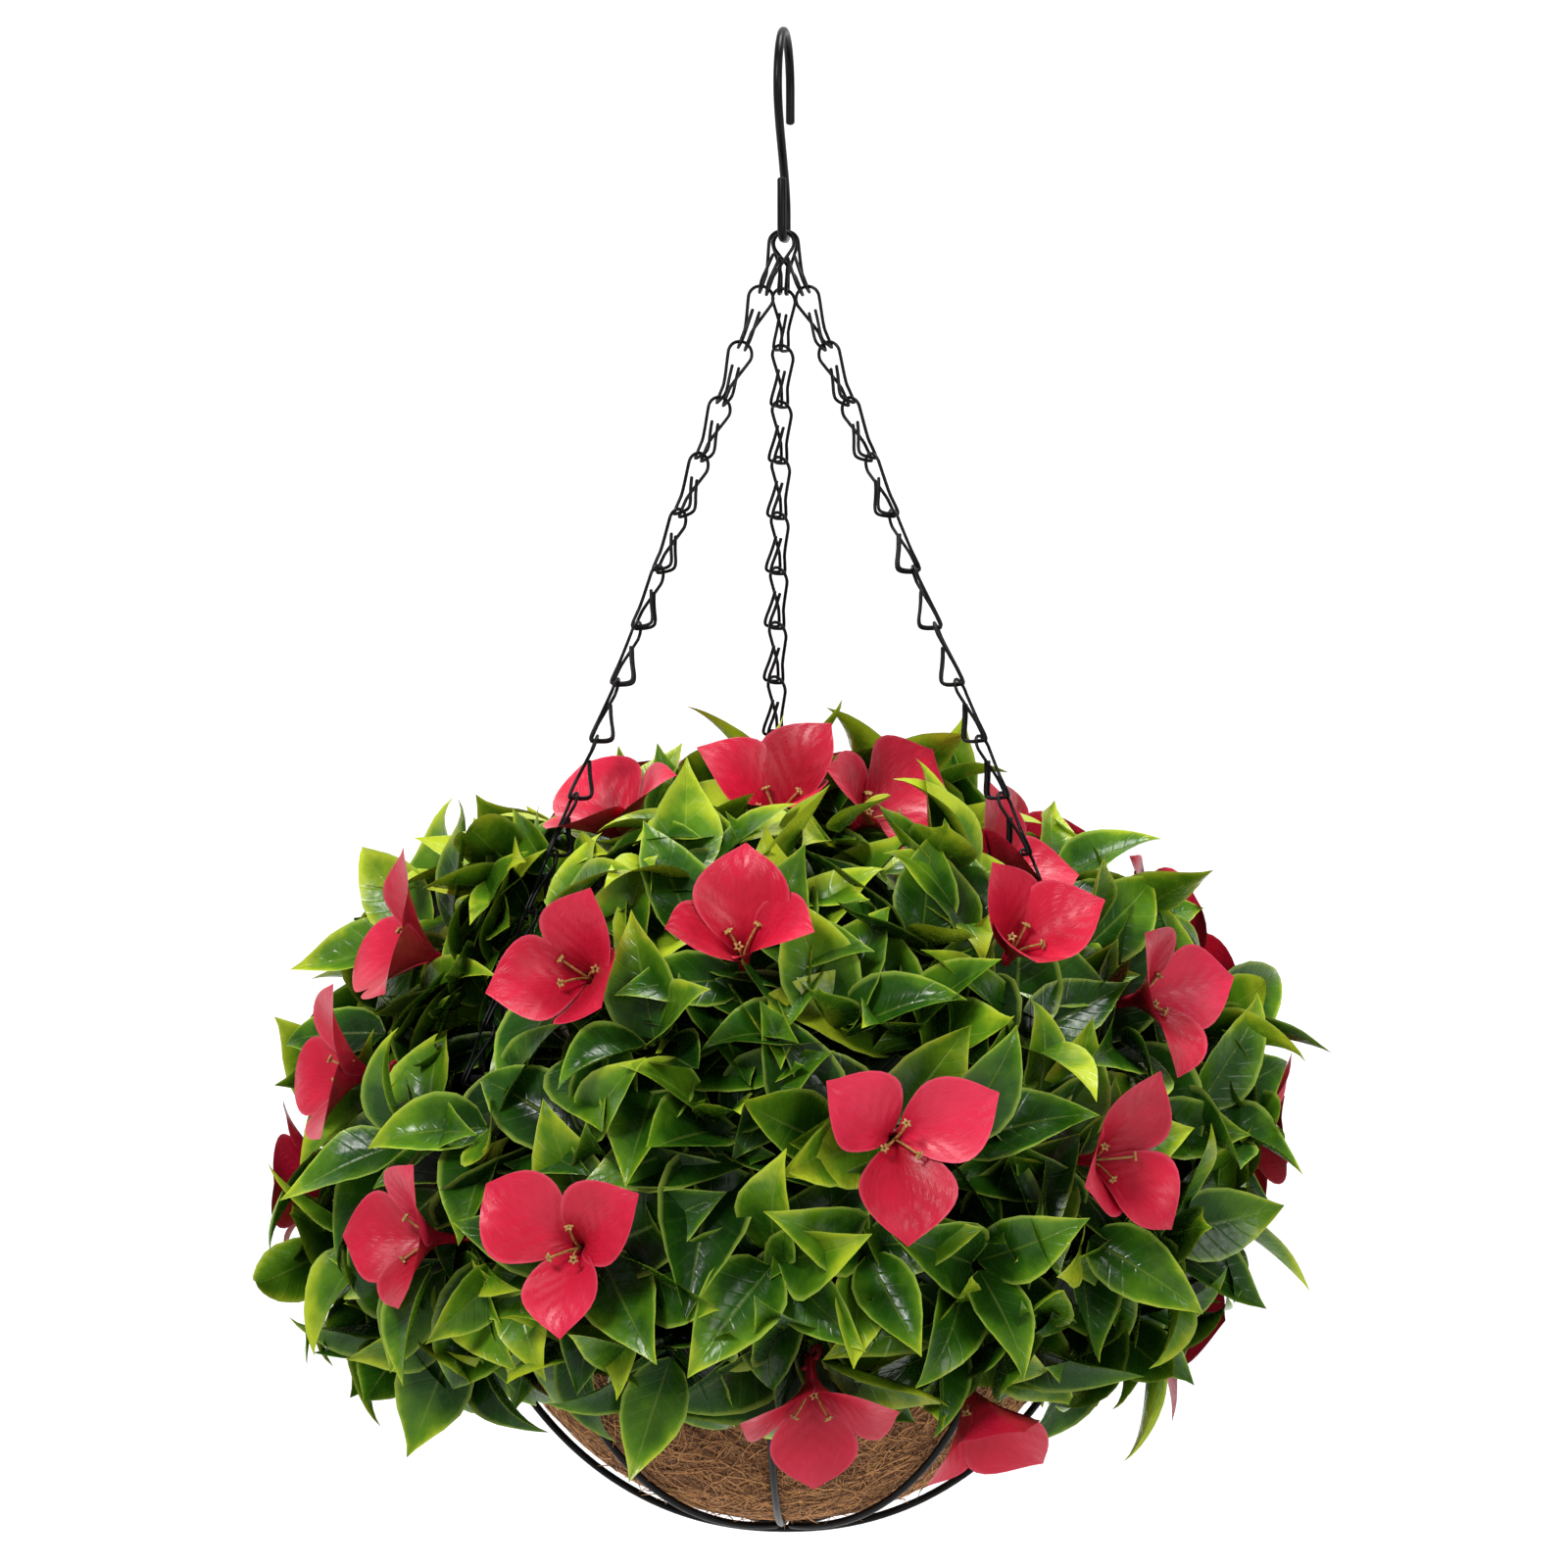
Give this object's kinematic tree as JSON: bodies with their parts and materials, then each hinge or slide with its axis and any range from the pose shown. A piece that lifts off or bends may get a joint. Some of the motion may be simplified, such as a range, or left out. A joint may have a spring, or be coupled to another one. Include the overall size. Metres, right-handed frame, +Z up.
{
  "type": "hanging basket",
  "caption": "Flowering artificial plant in a round-bottomed wire basket with a coir liner, hung by wire-link chains from a bent-wire ceiling hook",
  "frame": {"origin": "inside top of the ceiling hook's upper bend, where the part is hung", "axes": "+Z up along the hanging height; -Y is the front, towards the viewer; +X is to the viewer's right"},
  "size_m": [0.4575, 0.4578, 0.6694],
  "materials": {
    "black_wire": "satin",
    "coir": "matte",
    "planting_foam": "matte",
    "leaf_mass": "satin"
  },
  "bodies": {
    "hook": {"ceiling_hook": "black_wire"},
    "hung_basket": {"link_left_01": "black_wire", "link_left_02": "black_wire", "link_left_03": "black_wire", "link_left_04": "black_wire", "link_left_05": "black_wire", "link_left_06": "black_wire", "link_left_07": "black_wire", "link_left_08": "black_wire", "link_left_09": "black_wire", "link_left_10": "black_wire", "link_left_11": "black_wire", "link_left_12": "black_wire", "link_left_13": "black_wire", "link_left_14": "black_wire", "link_left_15": "black_wire", "link_right_01": "black_wire", "link_right_02": "black_wire", "link_right_03": "black_wire", "link_right_04": "black_wire", "link_right_05": "black_wire", "link_right_06": "black_wire", "link_right_07": "black_wire", "link_right_08": "black_wire", "link_right_09": "black_wire", "link_right_10": "black_wire", "link_right_11": "black_wire", "link_right_12": "black_wire", "link_right_13": "black_wire", "link_right_14": "black_wire", "link_right_15": "black_wire", "link_back_01": "black_wire", "link_back_02": "black_wire", "link_back_03": "black_wire", "link_back_04": "black_wire", "link_back_05": "black_wire", "link_back_06": "black_wire", "link_back_07": "black_wire", "link_back_08": "black_wire", "link_back_09": "black_wire", "link_back_10": "black_wire", "link_back_11": "black_wire", "link_back_12": "black_wire", "link_back_13": "black_wire", "link_back_14": "black_wire", "link_back_15": "black_wire", "basket_rim": "black_wire", "basket_hoop_front_back": "black_wire", "basket_hoop_left_right": "black_wire", "basket_rib_045": "black_wire", "basket_rib_135": "black_wire", "basket_rib_225": "black_wire", "basket_rib_315": "black_wire", "coir_liner": "coir", "foam_core": "planting_foam", "foliage_crown": "leaf_mass", "foliage_front": "leaf_mass", "foliage_left": "leaf_mass", "foliage_right": "leaf_mass"}
  },
  "joints": [
    {"name": "basket_swing", "type": "hinge", "parent": "hook", "child": "hung_basket", "pos_m": [0, 0, -0.0898], "axis": [0.1115, 0.9938, 0], "range_deg": [-28, 28]}
  ]
}
